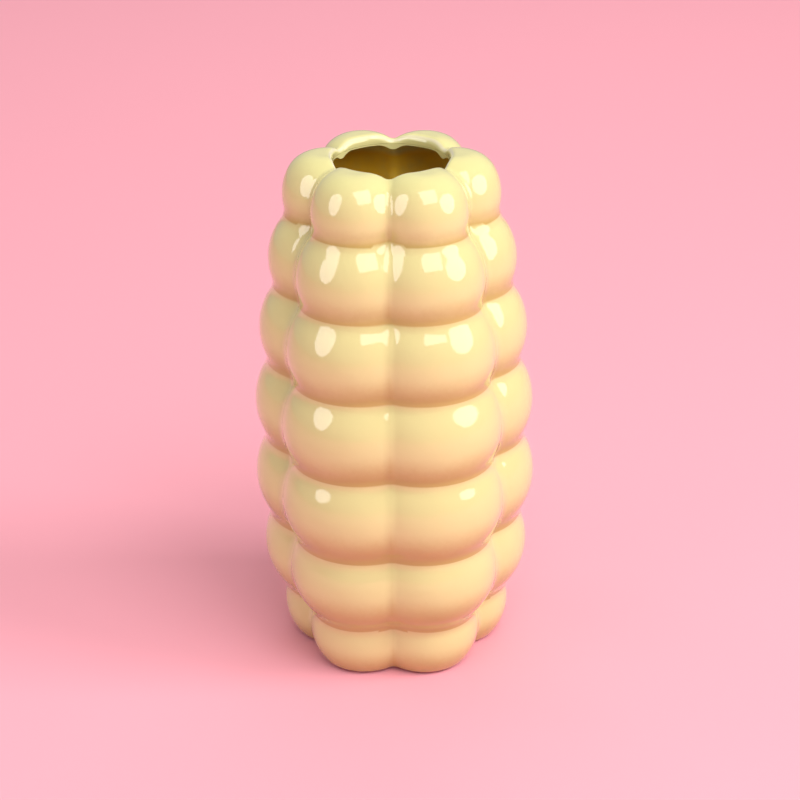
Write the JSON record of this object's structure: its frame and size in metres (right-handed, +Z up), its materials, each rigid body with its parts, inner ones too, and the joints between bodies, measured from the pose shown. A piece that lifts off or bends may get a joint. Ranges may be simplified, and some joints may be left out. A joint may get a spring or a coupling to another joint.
{
  "type": "pillow vase",
  "caption": "Tall glazed ceramic vase of stacked pillow-like lobes in upright columns, swelling at the belly, with a wavy open mouth for stems and a flat dry foot.",
  "frame": {"origin": "on the table at the middle of the foot ring", "axes": "+Z up along the vase axis; -Y is the front, where an upright crease between two columns faces the viewer"},
  "size_m": [0.132, 0.1244, 0.2437],
  "materials": {
    "bare_clay": "matte unglazed stoneware",
    "butter_glaze": "gloss glaze",
    "liner_glaze": "gloss glaze"
  },
  "bodies": {
    "root": {"clay_body": "bare_clay", "outer_glaze": "butter_glaze", "liner_glaze": "liner_glaze"}
  },
  "joints": []
}
